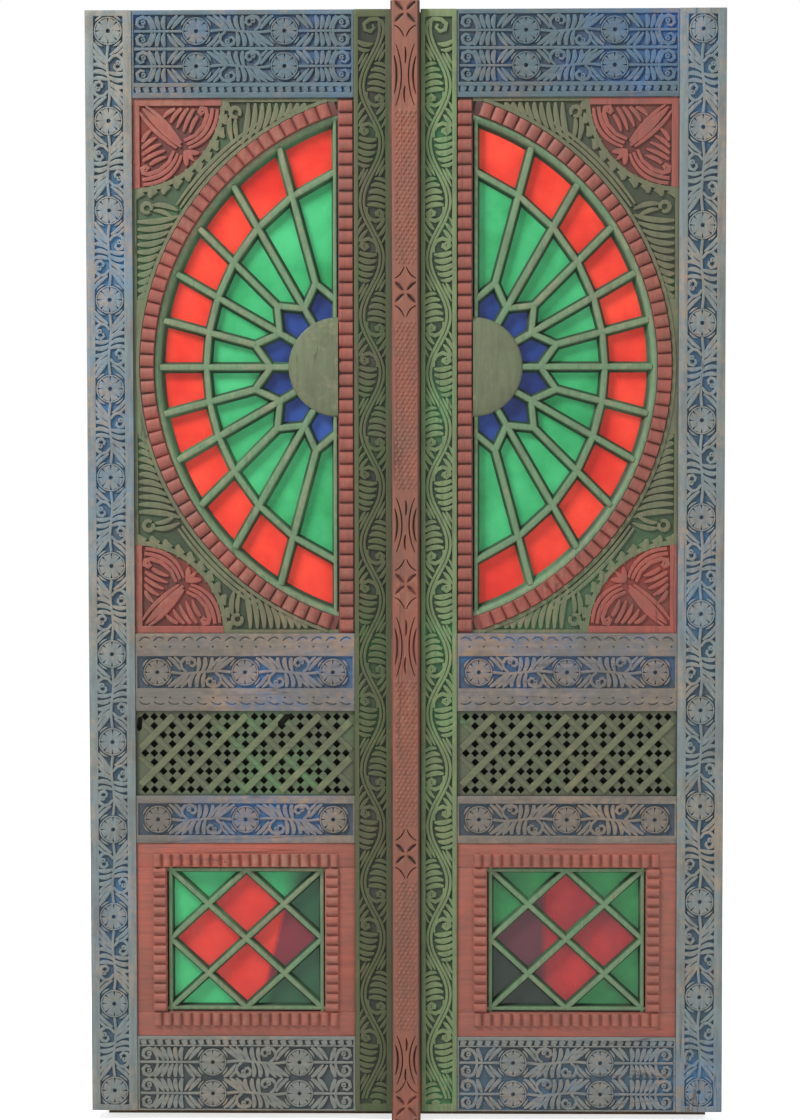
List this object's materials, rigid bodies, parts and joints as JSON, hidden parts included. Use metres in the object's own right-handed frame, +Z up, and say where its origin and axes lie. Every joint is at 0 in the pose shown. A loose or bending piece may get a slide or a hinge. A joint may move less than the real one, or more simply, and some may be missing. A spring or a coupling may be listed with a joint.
{
  "type": "carved double door",
  "caption": "Carved and painted wooden double door on a plain timber frame, with half-sun tracery of coloured glass, pierced lattice and a glazed lower window in each leaf.",
  "frame": {"origin": "centre of the underside of the threshold, under the middle of the frame", "axes": "+Z up, +Y from the carved front to the back, +X to the right as seen from the front"},
  "size_m": [1.182, 0.147, 2.0803],
  "materials": {
    "blue_paint": "worn blue paint on carved wood",
    "green_paint": "worn green paint on carved wood",
    "red_paint": "worn red paint on carved wood",
    "rose_paint": "worn rose paint on carved wood",
    "sash_paint": "worn green paint on glazing bars",
    "lattice_paint": "worn grey green paint",
    "boss_wood": "worn olive paint on a turned boss",
    "bare_wood": "bare weathered wood",
    "dark_wood": "dark unpainted board",
    "iron": "forged, dull",
    "red_glass": "coloured sheet glass",
    "green_glass": "coloured sheet glass",
    "blue_glass": "coloured sheet glass"
  },
  "bodies": {
    "frame": {"threshold": "bare_wood", "head": "bare_wood", "left_jamb": "bare_wood", "right_jamb": "bare_wood", "frame_pegs": "bare_wood", "left_pintles": "iron", "right_pintles": "iron"},
    "left_leaf": {"astragal": "rose_paint", "left_outer_stile": "blue_paint", "left_meeting_stile": "green_paint", "left_top_rail": "blue_paint", "left_frieze_rail": "blue_paint", "left_window_rail": "blue_paint", "left_bottom_rail": "blue_paint", "left_sun_panel": "green_paint", "left_sun_strip": "red_paint", "left_sun_tracery": "sash_paint", "left_sun_boss": "boss_wood", "left_sun_red_panes": "red_glass", "left_sun_green_panes": "green_glass", "left_sun_blue_panes": "blue_glass", "left_lattice": "lattice_paint", "left_lattice_back": "dark_wood", "left_window_head": "red_paint", "left_window_sill": "red_paint", "left_window_outer_side": "red_paint", "left_window_inner_side": "red_paint", "left_window_sash": "sash_paint", "left_window_red_panes": "red_glass", "left_window_green_panes": "green_glass", "left_hinge_plates": "iron", "left_pegs": "bare_wood"},
    "right_leaf": {"right_outer_stile": "blue_paint", "right_meeting_stile": "green_paint", "right_top_rail": "blue_paint", "right_frieze_rail": "blue_paint", "right_window_rail": "blue_paint", "right_bottom_rail": "blue_paint", "right_sun_panel": "green_paint", "right_sun_strip": "red_paint", "right_sun_tracery": "sash_paint", "right_sun_boss": "boss_wood", "right_sun_red_panes": "red_glass", "right_sun_green_panes": "green_glass", "right_sun_blue_panes": "blue_glass", "right_lattice": "lattice_paint", "right_lattice_back": "dark_wood", "right_window_head": "red_paint", "right_window_sill": "red_paint", "right_window_outer_side": "red_paint", "right_window_inner_side": "red_paint", "right_window_sash": "sash_paint", "right_window_red_panes": "red_glass", "right_window_green_panes": "green_glass", "right_hinge_plates": "iron", "right_pegs": "bare_wood"}
  },
  "joints": [
    {"name": "left_leaf_swing", "type": "hinge", "parent": "frame", "child": "left_leaf", "pos_m": [-0.58, -0.032, 0.018], "axis": [0, 0, -1], "range_deg": [0, 105]},
    {"name": "right_leaf_swing", "type": "hinge", "parent": "frame", "child": "right_leaf", "pos_m": [0.58, -0.032, 0.018], "axis": [0, 0, 1], "range_deg": [0, 105]}
  ]
}
